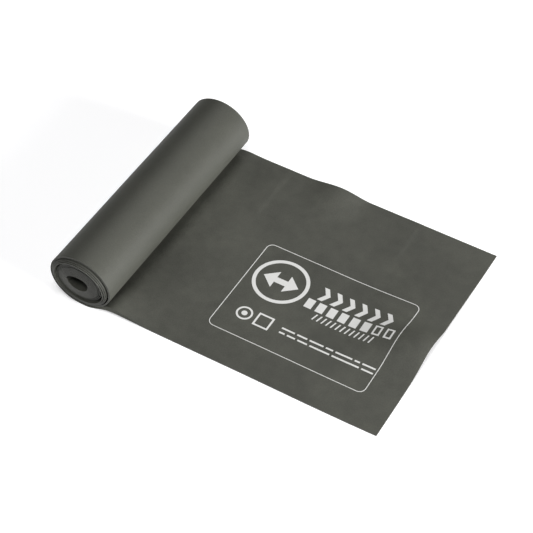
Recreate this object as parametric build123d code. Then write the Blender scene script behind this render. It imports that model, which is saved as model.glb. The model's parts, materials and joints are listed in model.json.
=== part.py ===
from build123d import *

import os
from math import pi

# Flat elastic exercise band, wound into a roll with its printed free end laid out flat.
#
# The band is one cut strip of thermoplastic elastomer with a print on its upper face. The strip
# is divided only where it has to roll, bend or stretch, and each length of it is its own solid.
# +X runs along the laid-out strip towards its free end, +Y across its width and +Z up. The
# origin is the centre of the footprint, on the surface that the band lies on. Millimetres.

# The strip
STRIP_LENGTH = 1500.0
STRIP_WIDTH = 150.0
THICKNESS = 0.5

# The roll
ROLL_RADIUS = 18.6
TURNS = 17

# The laid-out run, as distances from the line where the roll stands on the strip
LAID_OUT = 181.0
TOUCHDOWN_END = 14.0
FOLD_LINE = 54.0
FREE_END_START = 166.0

# The print: a border line, and the marks placed from its centre
INK = 0.05
BORDER_SIZE = (96.5, 70.4)
BORDER_RADIUS = 4.0
BORDER_LINE = 0.42
END_MARGIN = 18.9
SIDE_MARGIN = 20.9
EMBLEM_PLACE = (-28.1, 12.3)
EMBLEM_RADIUS = 16.4
EMBLEM_LINE = 2.2
ARROW_SIZE = (22.0, 13.0)
ARROW_HEAD = 7.5
ARROW_SHAFT = 4.0
CHEVRON_PLACE = (17.7, 16.4)
CHEVRON_SIZE = (6.0, 10.0)
CHEVRON_STROKE = 3.0
CHEVRON_PITCH = 7.8
CHEVRONS = 6
BLOCK_PLACE = (18.0, 6.4)
BLOCK_SIZE = (4.6, 7.0)
BLOCK_PITCH = 7.0
BLOCKS = 8
BLOCKS_FILLED = 6
BLOCK_LINE = 1.0
DASH_PLACE = (17.9, -0.9)
DASH_SIZE = (0.8, 4.6)
DASH_LEAN = 1.2
DASH_PITCH = 2.9
DASHES = 13
SYMBOL_PLACE = (-27.9, -18.4)
SYMBOL_SIZE = 9.6
SYMBOL_PITCH = 12.0
SYMBOL_LINE = 1.1
SYMBOL_DOT = 3.4
CARE_PLACE = (17.9, -18.8)
CARE_LENGTH = 57.6
CARE_LINE = 1.1
CARE_ROW_PITCH = 3.35
CARE_GAP = 1.5
CARE_ROWS = ((8.0, 6.2, 8.6, 4.4, 10.2, 3.2, 8.0), (3.4, 5.0, 6.0, 12.2, 16.5, 7.0))

# Places and sizes that follow
OVERALL_LENGTH = ROLL_RADIUS + LAID_OUT
TOUCHDOWN_X = ROLL_RADIUS - OVERALL_LENGTH / 2
PRINT_X = OVERALL_LENGTH / 2 - END_MARGIN - BORDER_SIZE[0] / 2
PRINT_Y = SIDE_MARGIN - STRIP_WIDTH / 2 + BORDER_SIZE[1] / 2
MIDDLE_RADIUS = ROLL_RADIUS - THICKNESS / 2
HALF_TURNS = 2 * TURNS
# The half turns shrink evenly, and their lengths add up to the wound length.
HALF_TURNS_LENGTH = (STRIP_LENGTH - LAID_OUT) / pi
PITCH = 4 * (HALF_TURNS * MIDDLE_RADIUS - HALF_TURNS_LENGTH) / (HALF_TURNS * (HALF_TURNS - 1))


def wound_roll():
    """The wound length: a spiral of half circles, from the touchdown line in to the core."""
    outer = []
    inner = []
    for k in range(HALF_TURNS):
        rising = k % 2 == 0
        centre = (0, ROLL_RADIUS if rising else ROLL_RADIUS + PITCH / 2)
        radius = MIDDLE_RADIUS - k * PITCH / 2
        start = -90 if rising else 90
        outer.append(CenterArc(centre, radius + THICKNESS / 2, start, -180))
        inner.append(CenterArc(centre, radius - THICKNESS / 2, start, -180))
    ends = [Line(outer[0] @ 0, inner[0] @ 0), Line(outer[-1] @ 1, inner[-1] @ 1)]
    section = Plane.XZ * make_face(outer + inner + ends)
    return Pos(TOUCHDOWN_X, 0, 0) * extrude(section, STRIP_WIDTH / 2, both=True)


def flat_strip(start, end):
    """A flat length of the strip, between two distances from the touchdown line."""
    place = Pos(TOUCHDOWN_X + (start + end) / 2, 0, THICKNESS / 2)
    return place * Box(end - start, STRIP_WIDTH, THICKNESS)


def border():
    """The thin rounded frame round the print."""
    width, height = BORDER_SIZE
    hole = RectangleRounded(width - 2 * BORDER_LINE, height - 2 * BORDER_LINE, BORDER_RADIUS - BORDER_LINE)
    return RectangleRounded(width, height, BORDER_RADIUS) - hole


def emblem_ring():
    """The plain ring of the emblem."""
    return Pos(*EMBLEM_PLACE) * (Circle(EMBLEM_RADIUS) - Circle(EMBLEM_RADIUS - EMBLEM_LINE))


def emblem_arrow():
    """A double-headed arrow along the strip, inside the ring: the way the band stretches."""
    tip = ARROW_SIZE[0] / 2
    neck = tip - ARROW_HEAD
    wing = ARROW_SIZE[1] / 2
    shaft = ARROW_SHAFT / 2
    right = [(neck, -shaft), (neck, -wing), (tip, 0), (neck, wing), (neck, shaft)]
    left = [(-x, -y) for x, y in right]
    return Pos(*EMBLEM_PLACE) * Polygon(*right, *left, align=None)


def chevron_row():
    """A row of bold chevrons, pointing at the free end."""
    width, height = CHEVRON_SIZE
    nose = width / 2
    back = nose - CHEVRON_STROKE
    tail = nose - width
    chevron = Polygon(
        (back, 0), (tail, -height / 2), (tail + CHEVRON_STROKE, -height / 2),
        (nose, 0), (tail + CHEVRON_STROKE, height / 2), (tail, height / 2),
        align=None,
    )
    places = GridLocations(CHEVRON_PITCH, 0, CHEVRONS, 1)
    return Pos(*CHEVRON_PLACE) * (Sketch() + [place * chevron for place in places])


def block_row():
    """The strength scale: a row of blocks, the filled ones showing the level."""
    width, height = BLOCK_SIZE
    filled = Rectangle(width, height)
    empty = filled - Rectangle(width - 2 * BLOCK_LINE, height - 2 * BLOCK_LINE)
    places = list(GridLocations(BLOCK_PITCH, 0, BLOCKS, 1))
    blocks = [place * filled for place in places[:BLOCKS_FILLED]]
    blocks += [place * empty for place in places[BLOCKS_FILLED:]]
    return Pos(*BLOCK_PLACE) * (Sketch() + blocks)


def dash_row():
    """A row of thin leaning dashes under the scale."""
    half_width = DASH_SIZE[0] / 2
    half_height = DASH_SIZE[1] / 2
    half_lean = DASH_LEAN / 2
    dash = Polygon(
        (-half_width - half_lean, -half_height), (half_width - half_lean, -half_height),
        (half_width + half_lean, half_height), (half_lean - half_width, half_height),
        align=None,
    )
    places = GridLocations(DASH_PITCH, 0, DASHES, 1)
    return Pos(*DASH_PLACE) * (Sketch() + [place * dash for place in places])


def symbols():
    """Two small plain symbols: a ring round a dot, and an empty square."""
    ring = Circle(SYMBOL_SIZE / 2) - Circle(SYMBOL_SIZE / 2 - SYMBOL_LINE) + Circle(SYMBOL_DOT / 2)
    square = Rectangle(SYMBOL_SIZE, SYMBOL_SIZE)
    square -= Rectangle(SYMBOL_SIZE - 2 * SYMBOL_LINE, SYMBOL_SIZE - 2 * SYMBOL_LINE)
    half = SYMBOL_PITCH / 2
    return Pos(*SYMBOL_PLACE) * (Sketch() + [Pos(-half, 0) * ring, Pos(half, 0) * square])


def care_lines():
    """Two rows of short thin bars, where a care note would stand."""
    bars = []
    for row, lengths in enumerate(CARE_ROWS):
        x = -CARE_LENGTH / 2
        y = (0.5 - row) * CARE_ROW_PITCH
        for length in lengths:
            bars.append(Pos(x + length / 2, y) * Rectangle(length, CARE_LINE))
            x += length + CARE_GAP
    return Pos(*CARE_PLACE) * (Sketch() + bars)


def printed(marks):
    """A film of ink on the strip's upper face, from marks drawn about the print's centre."""
    return Pos(PRINT_X, PRINT_Y, THICKNESS) * extrude(marks, INK)


STRIP_NODES = {
    "wound_roll": wound_roll(),
    "roll_touchdown": flat_strip(0, TOUCHDOWN_END),
    "strip_lead": flat_strip(TOUCHDOWN_END, FOLD_LINE),
    "strip_panel": flat_strip(FOLD_LINE, FREE_END_START),
    "strip_free_end": flat_strip(FREE_END_START, LAID_OUT),
}

PRINT_NODES = {
    "print_border": border(),
    "print_emblem_ring": emblem_ring(),
    "print_emblem_arrow": emblem_arrow(),
    "print_chevrons": chevron_row(),
    "print_strength_scale": block_row(),
    "print_dashes": dash_row(),
    "print_symbols": symbols(),
    "print_care_lines": care_lines(),
}

os.makedirs("parts", exist_ok=True)
for node, solid in STRIP_NODES.items():
    export_step(solid, f"parts/{node}.step")
for node, marks in PRINT_NODES.items():
    export_step(printed(marks), f"parts/{node}.step")
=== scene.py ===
import json
import math

import bmesh
import bpy
from mathutils import Matrix, Vector, noise


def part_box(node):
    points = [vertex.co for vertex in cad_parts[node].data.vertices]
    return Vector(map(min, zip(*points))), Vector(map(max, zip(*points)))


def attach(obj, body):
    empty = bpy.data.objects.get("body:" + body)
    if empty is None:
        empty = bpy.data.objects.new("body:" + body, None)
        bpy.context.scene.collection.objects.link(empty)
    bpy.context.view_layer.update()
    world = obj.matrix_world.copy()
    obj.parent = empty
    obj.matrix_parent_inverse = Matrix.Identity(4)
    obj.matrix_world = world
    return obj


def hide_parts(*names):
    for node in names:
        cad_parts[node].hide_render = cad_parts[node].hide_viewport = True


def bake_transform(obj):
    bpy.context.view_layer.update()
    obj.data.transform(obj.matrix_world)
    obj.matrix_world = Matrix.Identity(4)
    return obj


# Flat resistance band: one strip, wound into a roll, with its printed end laid out flat
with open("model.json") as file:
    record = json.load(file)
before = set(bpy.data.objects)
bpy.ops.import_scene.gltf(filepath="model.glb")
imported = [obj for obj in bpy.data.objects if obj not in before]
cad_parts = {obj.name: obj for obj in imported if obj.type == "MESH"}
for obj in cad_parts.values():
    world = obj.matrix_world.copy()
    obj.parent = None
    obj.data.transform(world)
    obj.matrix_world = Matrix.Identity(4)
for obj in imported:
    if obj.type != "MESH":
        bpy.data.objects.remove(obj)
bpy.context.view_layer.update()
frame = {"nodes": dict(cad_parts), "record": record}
mm = 0.001

# Places along the strip, read from the CAD frame
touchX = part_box("roll_touchdown")[0].x
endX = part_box("strip_free_end")[1].x
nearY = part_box("strip_panel")[0].y
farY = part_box("strip_panel")[1].y
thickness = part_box("strip_panel")[1].z
print("frame loaded: laid-out run", round((endX - touchX) / mm, 1), "mm")


def between(keys, t):
    # straight-line reading of (t, value) keys
    if t <= keys[0][0]:
        return keys[0][1]
    for (t0, v0), (t1, v1) in zip(keys, keys[1:]):
        if t <= t1:
            return v0 + (v1 - v0) * (t - t0) / (t1 - t0)
    return keys[-1][1]


def eased(keys, t, spread):
    # the same reading with its corners rounded off
    steps = (-1, -0.5, 0, 0.5, 1)
    return sum(between(keys, t + s * spread) for s in steps) / len(steps)


def swell(t):
    # 1 at t = 0, falling smoothly to 0 at t = -1 and t = 1
    return 0.5 + 0.5 * math.cos(math.pi * t) if abs(t) < 1 else 0.0


sharpAngle = math.radians(50)
printedSide, underside, cutEdge = 0, 1, 2


def closedSheet(name, rows, offsets, materials):
    # rows of middle points and half-thickness offsets become a sheet with both faces and its cut edges
    count = len(rows[0])
    last = len(rows) - 1
    points = [p + d for row, way in zip(rows, offsets) for p, d in zip(row, way)]
    points += [p - d for row, way in zip(rows, offsets) for p, d in zip(row, way)]
    under = len(rows) * count
    faces = []
    for i in range(last):
        for j in range(count - 1):
            a = i * count + j
            faces.append((a, a + count, a + count + 1, a + 1))
            faces.append((under + a, under + a + 1, under + a + count + 1, under + a + count))
    sheetFaces = len(faces)
    # the rim, a run of cut edge all the way round
    loop = [i * count for i in range(last)] + [last * count + j for j in range(count - 1)]
    loop += [i * count + count - 1 for i in range(last, 0, -1)] + list(range(count - 1, 0, -1))
    for a, b in zip(loop, loop[1:] + loop[:1]):
        faces.append((b, a, under + a, under + b))
    mesh = bpy.data.meshes.new(name)
    mesh.from_pydata(points, [], faces)
    for material in materials:
        mesh.materials.append(material)
    for face in mesh.polygons:
        face.use_smooth = True
        if face.index >= sheetFaces:
            face.material_index = cutEdge
        else:
            # the two sides take turns in the list of faces
            face.material_index = underside if face.index % 2 else printedSide
    mesh.set_sharp_from_angle(angle=sharpAngle)
    piece = bpy.data.objects.new(name, mesh)
    bpy.context.scene.collection.objects.link(piece)
    return piece


def newGroup(name, inputs, outputs):
    group = bpy.data.node_groups.new(name, "ShaderNodeTree")
    for label, kind, default in inputs:
        socket = group.interface.new_socket(label, in_out="INPUT", socket_type="NodeSocket" + kind)
        if default is not None:
            socket.default_value = default
    for label, kind in outputs:
        group.interface.new_socket(label, in_out="OUTPUT", socket_type="NodeSocket" + kind)
    start = group.nodes.new("NodeGroupInput")
    finish = group.nodes.new("NodeGroupOutput")
    return group, start, finish


def addNode(tree, kind, settings=None, **values):
    node = tree.nodes.new("ShaderNode" + kind)
    for key, value in (settings or {}).items():
        setattr(node, key, value)
    for key, value in values.items():
        node.inputs[key].default_value = value
    return node


grainMix = {"scale": 1500.0, "detail": 3.0, "roughness": 0.6, "smoothness": 0.6, "pitDepth": 0.6}


def moulding():
    # the fine calendered grain of the rubber: a height for bump and a value that stays around 1
    group, start, finish = newGroup(
        "rubberGrain",
        [("Vector", "Vector", None), ("Size", "Float", 1.0), ("Tone Depth", "Float", 0.1)],
        [("Height", "Float"), ("Tone", "Float")],
    )
    link = group.links.new
    scaled = addNode(group, "VectorMath", {"operation": "SCALE"})
    link(start.outputs["Vector"], scaled.inputs[0])
    link(start.outputs["Size"], scaled.inputs["Scale"])
    mix = grainMix
    fine = addNode(group, "TexNoise", Scale=mix["scale"], Detail=mix["detail"], Roughness=mix["roughness"])
    smooth = {"feature": "SMOOTH_F1"}
    pits = addNode(group, "TexVoronoi", smooth, Scale=mix["scale"], Smoothness=mix["smoothness"])
    link(scaled.outputs[0], fine.inputs["Vector"])
    link(scaled.outputs[0], pits.inputs["Vector"])
    height = addNode(group, "Math", {"operation": "MULTIPLY_ADD"})
    height.inputs[1].default_value = mix["pitDepth"]
    link(pits.outputs["Distance"], height.inputs[0])
    link(fine.outputs["Fac"], height.inputs[2])
    tone = addNode(group, "MapRange", {"clamp": False})
    link(fine.outputs["Fac"], tone.inputs["Value"])
    low = addNode(group, "Math", {"operation": "SUBTRACT"})
    low.inputs[0].default_value = 1.0
    link(start.outputs["Tone Depth"], low.inputs[1])
    high = addNode(group, "Math", {"operation": "ADD"})
    high.inputs[0].default_value = 1.0
    link(start.outputs["Tone Depth"], high.inputs[1])
    link(low.outputs[0], tone.inputs["To Min"])
    link(high.outputs[0], tone.inputs["To Max"])
    link(height.outputs[0], finish.inputs["Height"])
    link(tone.outputs[0], finish.inputs["Tone"])
    return group


mottleMix = {
    "broad": {"Scale": 22.0, "Detail": 3.0, "Roughness": 0.55, "Distortion": 0.6},
    "near": {"Scale": 160.0, "Detail": 2.0, "Roughness": 0.5},
    "nearShare": 0.45,
}
noiseMean = 0.5


def mottling():
    # broad soft tone changes, as sheet rubber has where it was pulled and powdered
    group, start, finish = newGroup(
        "softMottle",
        [("Vector", "Vector", None), ("Tone Depth", "Float", 0.05)],
        [("Tone", "Float")],
    )
    link = group.links.new
    broad = addNode(group, "TexNoise", **mottleMix["broad"])
    near = addNode(group, "TexNoise", **mottleMix["near"])
    link(start.outputs["Vector"], broad.inputs["Vector"])
    link(start.outputs["Vector"], near.inputs["Vector"])
    both = addNode(group, "Math", {"operation": "MULTIPLY_ADD"})
    both.inputs[1].default_value = mottleMix["nearShare"]
    link(near.outputs["Fac"], both.inputs[0])
    link(broad.outputs["Fac"], both.inputs[2])
    centred = addNode(group, "Math", {"operation": "SUBTRACT"})
    centred.inputs[1].default_value = noiseMean * (1 + mottleMix["nearShare"])
    link(both.outputs[0], centred.inputs[0])
    depth = addNode(group, "Math", {"operation": "MULTIPLY_ADD"})
    depth.inputs[2].default_value = 1.0
    link(centred.outputs[0], depth.inputs[0])
    link(start.outputs["Tone Depth"], depth.inputs[1])
    link(depth.outputs[0], finish.inputs["Tone"])
    return group


def specks():
    # sparse dust and pigment specks, Spacing in mm and Size as a share of it
    group, start, finish = newGroup(
        "dustSpecks",
        [("Vector", "Vector", None), ("Spacing", "Float", 9.0), ("Size", "Float", 0.03)],
        [("Mask", "Float")],
    )
    link = group.links.new
    count = addNode(group, "Math", {"operation": "DIVIDE"})
    count.inputs[0].default_value = 1 / mm
    link(start.outputs["Spacing"], count.inputs[1])
    cells = addNode(group, "TexVoronoi", Randomness=1.0)
    link(start.outputs["Vector"], cells.inputs["Vector"])
    link(count.outputs[0], cells.inputs["Scale"])
    mask = addNode(group, "MapRange", {"interpolation_type": "SMOOTHSTEP"})
    mask.inputs["To Min"].default_value = 1.0
    mask.inputs["To Max"].default_value = 0.0
    link(cells.outputs["Distance"], mask.inputs["Value"])
    link(start.outputs["Size"], mask.inputs["From Max"])
    link(mask.outputs[0], finish.inputs["Mask"])
    return group


grainGroup = moulding()
mottleGroup = mottling()
speckGroup = specks()


def placeGroup(tree, group, **values):
    node = tree.nodes.new("ShaderNodeGroup")
    node.node_tree = group
    for key, value in values.items():
        node.inputs[key.replace("_", " ")].default_value = value
    return node


def product(tree, a, b):
    node = addNode(tree, "Math", {"operation": "MULTIPLY"})
    tree.links.new(a, node.inputs[0])
    tree.links.new(b, node.inputs[1])
    return node.outputs[0]


def surface(name, look):
    # a matt sheet finish: one colour, varied by grain, mottling and specks, with the grain as bump
    material = bpy.data.materials.new(name)
    material.use_nodes = True
    tree = material.node_tree
    link = tree.links.new
    shader = tree.nodes["Principled BSDF"]
    shader.inputs["Specular IOR Level"].default_value = look["specular"]
    place = addNode(tree, "TexCoord").outputs["Object"]
    grain = placeGroup(tree, grainGroup, Size=look["grainSize"], Tone_Depth=look["grainTone"])
    mottle = placeGroup(tree, mottleGroup, Tone_Depth=look["mottleTone"])
    speck = placeGroup(tree, speckGroup, Spacing=look["speckSpacing"], Size=look["speckSize"])
    for group in (grain, mottle, speck):
        link(place, group.inputs["Vector"])
    tone = product(tree, grain.outputs["Tone"], mottle.outputs["Tone"])
    tinted = addNode(tree, "VectorMath", {"operation": "SCALE"})
    tinted.inputs[0].default_value = look["colour"]
    link(tone, tinted.inputs["Scale"])
    spotted = addNode(tree, "Mix", {"data_type": "RGBA"})
    link(speck.outputs["Mask"], spotted.inputs["Factor"])
    link(tinted.outputs[0], spotted.inputs["A"])
    spotted.inputs["B"].default_value = (*look["speckColour"], 1)
    link(spotted.outputs["Result"], shader.inputs["Base Color"])
    rough = addNode(tree, "MapRange", {"clamp": False})
    rough.inputs["From Min"].default_value = look["toneSpan"][0]
    rough.inputs["From Max"].default_value = look["toneSpan"][1]
    rough.inputs["To Min"].default_value = look["roughness"] - look["roughnessSpread"]
    rough.inputs["To Max"].default_value = look["roughness"] + look["roughnessSpread"]
    link(tone, rough.inputs["Value"])
    link(rough.outputs[0], shader.inputs["Roughness"])
    bump = addNode(tree, "Bump", Strength=look["bump"], Distance=look["bumpDepth"])
    link(grain.outputs["Height"], bump.inputs["Height"])
    link(bump.outputs[0], shader.inputs["Normal"])
    return material


rubberLook = {
    "colour": (0.0592, 0.0602, 0.0498), "roughness": 0.6, "roughnessSpread": 0.04, "toneSpan": (0.9, 1.1),
    "specular": 0.31,
    "grainSize": 1.0, "grainTone": 0.42, "mottleTone": 0.9, "bump": 0.35, "bumpDepth": 0.05 * mm,
    "speckSpacing": 14.0, "speckSize": 0.022, "speckColour": (0.02, 0.02, 0.018),
}
# the same rubber made darker for the roll's outside: painted shade, so the roll reads darker than the flat
# end
paintedShadeUndersideLook = dict(rubberLook, colour=(0.0478, 0.0488, 0.0405), mottleTone=0.25)  # the roll's outside
cutEdgeLook = dict(
    rubberLook, colour=(0.084, 0.0845, 0.0765), roughness=0.7, mottleTone=0.25, speckSpacing=30.0,
)
inkLook = dict(
    rubberLook, colour=(0.60, 0.60, 0.585), roughness=0.5, grainTone=0.06, mottleTone=0.12,
    bump=0.2, speckSpacing=7.0, speckSize=0.02, speckColour=(0.2, 0.2, 0.19),
)
sheetMaterials = (
    surface("matt_rubber", rubberLook),
    # the roll's outside, darkened as painted shade
    surface("matt_rubber_underside_painted_shade", paintedShadeUndersideLook),
    surface("cut_rubber_edge", cutEdgeLook),
)
ink = surface("screen_print_ink", inkLook)
print("materials ready")


laidOut = {
    # everything here is in mm, along the strip from the touchdown line and across it from its middle
    "step": 1.25,
    # soft waves: middle (along, across), their reach before and after it each way, height
    "waves": (
        {"at": (81, 76), "along": (23, 20), "across": (34, 34), "height": 2.5},
        {"at": (15, 75), "along": (16, 17), "across": (26, 26), "height": 0.6},
        {"at": (175, -12), "along": (42, 30), "across": (24, 22), "height": 4.6},
        {"at": (177, 2), "along": (60, 40), "across": (64, 66), "height": 2.1},
        # two faint creases left by the packing
        {"at": (132.5, 60), "along": (14, 2), "across": (52, 40), "height": 0.16},
        {"at": (47, 52), "along": (12, 2.2), "across": (56, 40), "height": 0.16},
    ),
    # uneven by this much all over, in patches this long and wide, fading out by this far from the roll
    "ripple": {"height": 0.12, "along": 34, "across": 30, "calmTo": 30, "seed": 4},
    # beside the roll the near edge bulges up, then turns sharply down: curl is how far in it turns,
    # shareLeft how much of the bulge the edge itself keeps, fade how far in the bulge dies away
    "lip": {
        "height": (
            (3, 0), (6, 0.35), (8, 1.0), (10, 1.9), (12, 2.9), (14, 3.5), (18, 3.3), (24, 2.3), (32, 1.0),
            (38, 0.3), (43, 0),
        ),
        "curl": 0.6, "fade": 32, "shareLeft": 0.3,
    },
    "nearRows": {"spacing": 0.3, "count": 8},
    # how far the two edges stand off their straight lines, by distance from the touchdown line
    "nearSwing": (
        (0, -2.8), (4, -3.0), (9, -2.0), (14, -0.6), (18, -0.1), (22, 0), (100, 0), (140, -0.3),
        (165, -0.25), (181, 0),
    ),
    "farSwing": ((0, -3.05), (3, -2.4), (9, -1.1), (14, -0.3), (18, 0)),
    "keyEase": 2, "nudge": 0.2,
    "joins": (40, 62),
}
runLength = (endX - touchX) / mm
stripWidth = (farY - nearY) / mm
middleY = (nearY + farY) / 2


def lift(x, y):
    # height of the laid-out strip above the table: x from the touchdown line, y from its middle, in mm
    high = 0.0
    for wave in laidOut["waves"]:
        cx, cy = wave["at"]
        alongReach = wave["along"][x > cx]
        acrossReach = wave["across"][y > cy]
        high += wave["height"] * swell((x - cx) / alongReach) * swell((y - cy) / acrossReach)
    lip = laidOut["lip"]
    inward = max(0.0, y + stripWidth / 2)
    curl = min(1.0, inward / lip["curl"])
    fade = swell(max(0.0, inward - lip["curl"]) / lip["fade"])
    kept = lip["shareLeft"] + (1 - lip["shareLeft"]) * curl
    high += eased(lip["height"], x, laidOut["keyEase"]) * kept * fade
    ripple = laidOut["ripple"]
    calm = min(1.0, max(0.0, x / ripple["calmTo"]))
    patch = noise.noise(Vector((x / ripple["along"], y / ripple["across"], ripple["seed"])))
    return high + ripple["height"] * (0.5 + 0.5 * patch) * calm


def laidPoint(x, y):
    # y counts across the unbent strip; the swing carries it to where the edge really lies
    share = y / stripWidth + 0.5
    nearSwing = eased(laidOut["nearSwing"], x, laidOut["keyEase"])
    farSwing = eased(laidOut["farSwing"], x, laidOut["keyEase"])
    swing = nearSwing * (1 - share) + farSwing * share
    return Vector((touchX + x * mm, middleY + (y + swing) * mm, lift(x, y) * mm + thickness / 2))


def laidNormal(x, y):
    nudge = laidOut["nudge"]
    alongSlope = (lift(x + nudge, y) - lift(x - nudge, y)) / (2 * nudge)
    acrossSlope = (lift(x, y + nudge) - lift(x, y - nudge)) / (2 * nudge)
    return Vector((-alongSlope, -acrossSlope, 1)).normalized()


def laidSheet(name, start, end):
    steps = math.ceil((end - start) / laidOut["step"])
    across = math.ceil(stripWidth / laidOut["step"])
    edge = -stripWidth / 2
    # close rows along the near edge, where it curls, and even ones from there on
    close = laidOut["nearRows"]
    ys = [edge + close["spacing"] * i for i in range(close["count"])]
    evenFrom = math.floor((ys[-1] - edge) / laidOut["step"]) + 1
    ys += [edge + stripWidth * j / across for j in range(evenFrom, across + 1)]
    rows, offsets = [], []
    for i in range(steps + 1):
        x = start + (end - start) * i / steps
        rows.append([laidPoint(x, y) for y in ys])
        offsets.append([laidNormal(x, y) * (thickness / 2) for y in ys])
    return closedSheet(name, rows, offsets, sheetMaterials)


firstJoin, secondJoin = laidOut["joins"]
payOut = laidSheet("band_beside_roll", 0, firstJoin)
foldRun = laidSheet("band_at_fold", firstJoin, secondJoin)
printedRun = laidSheet("band_printed_end", secondJoin, runLength)
print("laid-out run made")


roll = {
    "turns": 17.25,
    "stepsPerTurn": 96,
    "across": 36,
    # where the outer face of the wrap comes on each side, by turns wound in, in mm
    "left": ((0.25, -19.15), (1.25, -18.45), (5.25, -15.85), (17.25, -9.6)),
    "right": (
        (0.75, 19.3), (1.75, 18.75), (2.0, 18.6), (2.5, 17.2), (2.75, 17.2), (3.75, 16.45), (4.75, 15.4),
        (5.0, 15.3), (5.45, 13.3), (5.75, 13.2), (7.75, 11.1), (8.75, 10.4), (16.75, 4.7),
    ),
    "top": (
        (0.5, 36.1), (1.5, 35.5), (2.0, 35.4), (2.3, 34.3), (2.5, 34.3), (3.5, 33.65), (4.5, 32.95),
        (5.0, 32.8), (5.25, 29.0), (5.5, 28.7), (16.5, 19.9),
    ),
    "bottom": ((0, 0), (1, 0.62), (5, 2.85), (17, 8.95)),
    # the middle that the four sides are drawn about
    "middleX": ((0, 0), (5, -1.2), (17.25, -2.0)),
    "middleZ": ((0, 18.05), (5, 16.6), (17.25, 15.2)),
    # how far each wrap has slid along the roll, and how much further it leans out at the roll's top
    "slide": (
        (0, 0), (0.06, -0.1), (0.14, 0), (0.3, 0.5), (1, 0.6), (4.95, 0), (5.35, 1.55),
        (7.9, 1.55), (8.4, 1.25), (17.25, 1.25),
    ),
    "lean": (
        (0, -1.6), (1.8, -1.8), (2.5, -2.6), (3.5, -3.2), (4.5, -3.8), (5.0, -3.8), (5.35, -1.6),
        (17.25, -1.6),
    ),
    "keyEase": 0.06, "nudge": 0.002,
    "height": 36.0,
    # soft dents, this many across the roll and this long, and none in the first quarter turn
    "dent": {"depth": 0.12, "round": 1.2, "along": 40, "calmTurns": 0.25},
    "taut": 0.94,  # wound under tension, the strip is a little thinner
}
rollSides = ("left", "right", "top", "bottom", "middleX", "middleZ", "slide", "lean")
# the strip's two edges where it enters the roll, in mm
rollNear = (laidPoint(0, -stripWidth / 2).y - middleY) / mm
rollFar = (laidPoint(0, stripWidth / 2).y - middleY) / mm


def rollRow(turn, shares):
    # points of the sheet's middle across the strip, turn counted from the touchdown line
    half = thickness / mm / 2
    wrap = {side: eased(roll[side], turn, roll["keyEase"]) for side in rollSides}
    angle = math.tau * turn
    ahead, upward = -math.sin(angle), -math.cos(angle)
    sideX = wrap["right"] - half if ahead > 0 else wrap["left"] + half
    sideZ = wrap["top"] - half if upward > 0 else wrap["bottom"] + half
    x = wrap["middleX"] + abs(ahead) * (sideX - wrap["middleX"])
    z = wrap["middleZ"] + abs(upward) * (sideZ - wrap["middleZ"])
    slide = wrap["slide"] + wrap["lean"] * z / roll["height"]
    middle = roll["height"] / 2
    dent = roll["dent"]
    calm = min(1.0, turn / dent["calmTurns"])
    row = []
    for share in shares:
        y = rollNear + (rollFar - rollNear) * share + slide
        spot = Vector((math.sin(angle) * dent["round"], y / dent["along"], math.cos(angle) * dent["round"]))
        grow = 1 + calm * dent["depth"] * noise.noise(spot) / middle
        row.append(Vector((touchX + x * grow * mm, middleY + y * mm, ((z - middle) * grow + middle) * mm)))
    return row


def woundRoll():
    steps = round(roll["turns"] * roll["stepsPerTurn"])
    shares = [j / roll["across"] for j in range(roll["across"] + 1)]
    taut = roll["taut"]
    rows, offsets = [], []
    for i in range(steps + 1):
        turn = roll["turns"] * i / steps
        before = rollRow(turn - roll["nudge"], shares)
        after = rollRow(turn + roll["nudge"], shares)
        rows.append(rollRow(turn, shares))
        slack = max(0.0, 1 - turn / roll["dent"]["calmTurns"])
        half = (taut + (1 - taut) * slack) * thickness / 2
        ways = [b - a for a, b in zip(before, after)]
        offsets.append([Vector((way.z, 0, -way.x)).normalized() * half for way in ways])
    offsets[0] = [Vector((0, 0, thickness / 2))] * len(shares)
    return closedSheet("band_wound_roll", rows, offsets, sheetMaterials)


wound = woundRoll()
print("roll wound")


# the print is cut on this grid so that it bends with the band, and lies this far clear of it, in mm
inkLaid = {"grid": 1.25, "clear": 0.015, "weld": 0.001, "cut": 0.002}


def onBand(point):
    # a point of the flat print, carried onto the band as it lies
    x, y = (point.x - touchX) / mm, (point.y - middleY) / mm
    above = point.z - thickness / 2 + inkLaid["clear"] * mm
    return laidPoint(x, y) + laidNormal(x, y) * above


def inkPiece(node):
    mesh = frame["nodes"][node].data.copy()
    mesh.name = node.replace("print_", "ink_")
    low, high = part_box(node)
    made = bmesh.new()
    made.from_mesh(mesh)
    bmesh.ops.remove_doubles(made, verts=made.verts, dist=inkLaid["weld"] * mm)
    for axis, normal in enumerate((Vector((1, 0, 0)), Vector((0, 1, 0)))):
        cuts = math.ceil((high[axis] - low[axis]) / (inkLaid["grid"] * mm))
        for i in range(1, cuts):
            place = normal * (low[axis] + (high[axis] - low[axis]) * i / cuts)
            everything = made.verts[:] + made.edges[:] + made.faces[:]
            near = inkLaid["cut"] * mm
            bmesh.ops.bisect_plane(made, geom=everything, plane_co=place, plane_no=normal, dist=near)
    for vertex in made.verts:
        vertex.co = onBand(vertex.co)
    made.to_mesh(mesh)
    made.free()
    mesh.materials.clear()
    mesh.materials.append(ink)
    for face in mesh.polygons:
        face.material_index = 0
    piece = bpy.data.objects.new(mesh.name, mesh)
    bpy.context.scene.collection.objects.link(piece)
    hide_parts(node)
    return piece


panelNodes = frame["record"]["behaviour"]["bodies"]["strip_panel"]
inkPieces = [inkPiece(node) for node in panelNodes if node.startswith("print_")]
print("print laid on the band:", len(inkPieces), "pieces")


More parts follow.
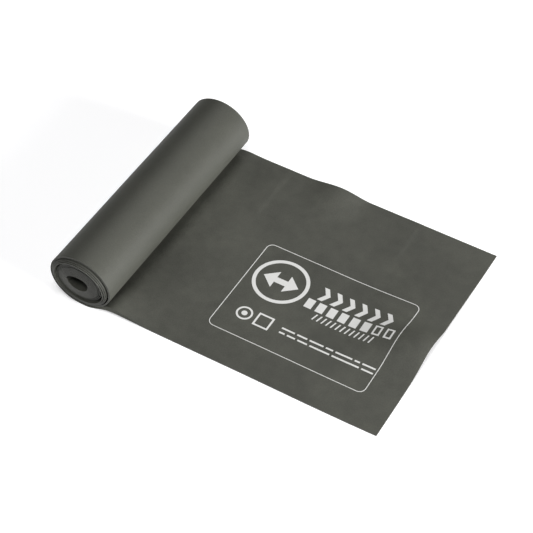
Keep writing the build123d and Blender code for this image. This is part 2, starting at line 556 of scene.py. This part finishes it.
def declareSheet(piece, length, held, restsOn, *nodes):
    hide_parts(*nodes)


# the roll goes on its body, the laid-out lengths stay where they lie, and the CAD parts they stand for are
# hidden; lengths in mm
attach(wound, "wound_roll")
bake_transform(payOut)
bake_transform(foldRun)
for piece in [printedRun, *inkPieces]:
    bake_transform(piece)
wholeLength = 1500  # the strip from end to end, in mm
woundLength = wholeLength - runLength
declareSheet(payOut, firstJoin, "laid", [], "roll_touchdown")
declareSheet(foldRun, secondJoin - firstJoin, "laid", [], "strip_lead")
declareSheet(printedRun, runLength - secondJoin, "laid", [], "strip_panel", "strip_free_end")
declareSheet(wound, woundLength, "folded", [payOut], "wound_roll")


studio = {
    "floorColour": (0.85, 0.85, 0.86),
    "floorGlow": 0.31,
    "floorSize": 6.0,
    "floorRoughness": 0.9, "floorSpecular": 0.1,
    "world": 0.01,
    "boxWidth": 0.7,
    # where each softbox stands, in metres, turned towards the object, and its power in watts
    "softboxes": {
        "right": {"at": (1.565, 0, 0.333), "power": 57},
        "left": {"at": (-1.03, 0, 1.225), "power": 5.0},
        "back": {"at": (0, 0.92, 1.31), "power": 6.3},
        "front": {"at": (0, -0.68, 1.45), "power": 12},
    },
}


def plainFloor():
    mesh = bpy.data.meshes.new("floor")
    half = studio["floorSize"] / 2
    corners = [(-half, -half, 0), (half, -half, 0), (half, half, 0), (-half, half, 0)]
    mesh.from_pydata(corners, [], [(0, 1, 2, 3)])
    material = bpy.data.materials.new("floor_paper")
    material.use_nodes = True
    shader = material.node_tree.nodes["Principled BSDF"]
    # the table is lit from below as well, so that shadows on it stay faint
    shader.inputs["Base Color"].default_value = (*studio["floorColour"], 1)
    shader.inputs["Emission Color"].default_value = (1, 1, 1, 1)
    shader.inputs["Emission Strength"].default_value = studio["floorGlow"]
    shader.inputs["Roughness"].default_value = studio["floorRoughness"]
    shader.inputs["Specular IOR Level"].default_value = studio["floorSpecular"]
    mesh.materials.append(material)
    floor = bpy.data.objects.new("floor", mesh)
    bpy.context.scene.collection.objects.link(floor)


def softLight(name, light):
    data = bpy.data.lights.new(name, "AREA")
    data.shape = "DISK"
    data.size = studio["boxWidth"]
    data.energy = light["power"]
    lamp = bpy.data.objects.new(name, data)
    lamp.location = light["at"]
    lamp.rotation_mode = "QUATERNION"
    lamp.rotation_quaternion = (-Vector(light["at"])).to_track_quat("-Z", "Y")
    bpy.context.scene.collection.objects.link(lamp)


def whiteRoom():
    world = bpy.data.worlds.new("white_room")
    bpy.context.scene.world = world
    world.use_nodes = True
    background = world.node_tree.nodes["Background"]
    background.inputs["Color"].default_value = (1, 1, 1, 1)
    background.inputs["Strength"].default_value = studio["world"]


plainFloor()
for name, light in studio["softboxes"].items():
    softLight(name + "_softbox", light)
whiteRoom()
bpy.context.scene.view_settings.view_transform = "Standard"

camera = {
    # angles in degrees, lens and sensor in mm, lookAt in mm from the touchdown line and the strip's middle
    "azimuth": 27.64, "elevation": 47.04, "roll": 2.81,
    "distance": 997 * mm, "lens": 119.5, "sensor": 36.0, "clip": (0.05, 20.0),
    "lookAt": (72.79, -0.26),
}


def placeCamera():
    data = bpy.data.cameras.new("camera")
    data.lens = camera["lens"]
    data.sensor_width = camera["sensor"]
    data.clip_start, data.clip_end = camera["clip"]
    eye = bpy.data.objects.new("camera", data)
    bpy.context.scene.collection.objects.link(eye)
    a, e, r = (math.radians(camera[k]) for k in ("azimuth", "elevation", "roll"))
    back = Vector((math.sin(a) * math.cos(e), -math.cos(a) * math.cos(e), math.sin(e)))
    level = Vector((math.cos(a), math.sin(a), 0))
    upright = back.cross(level)
    right = level * math.cos(r) + upright * math.sin(r)
    up = upright * math.cos(r) - level * math.sin(r)
    target = Vector((touchX + camera["lookAt"][0] * mm, middleY + camera["lookAt"][1] * mm, 0))
    turned = Matrix((right, up, back)).transposed().to_4x4()
    eye.matrix_world = Matrix.Translation(target + back * camera["distance"]) @ turned
    bpy.context.scene.camera = eye


placeCamera()
print("floor, light and camera set")
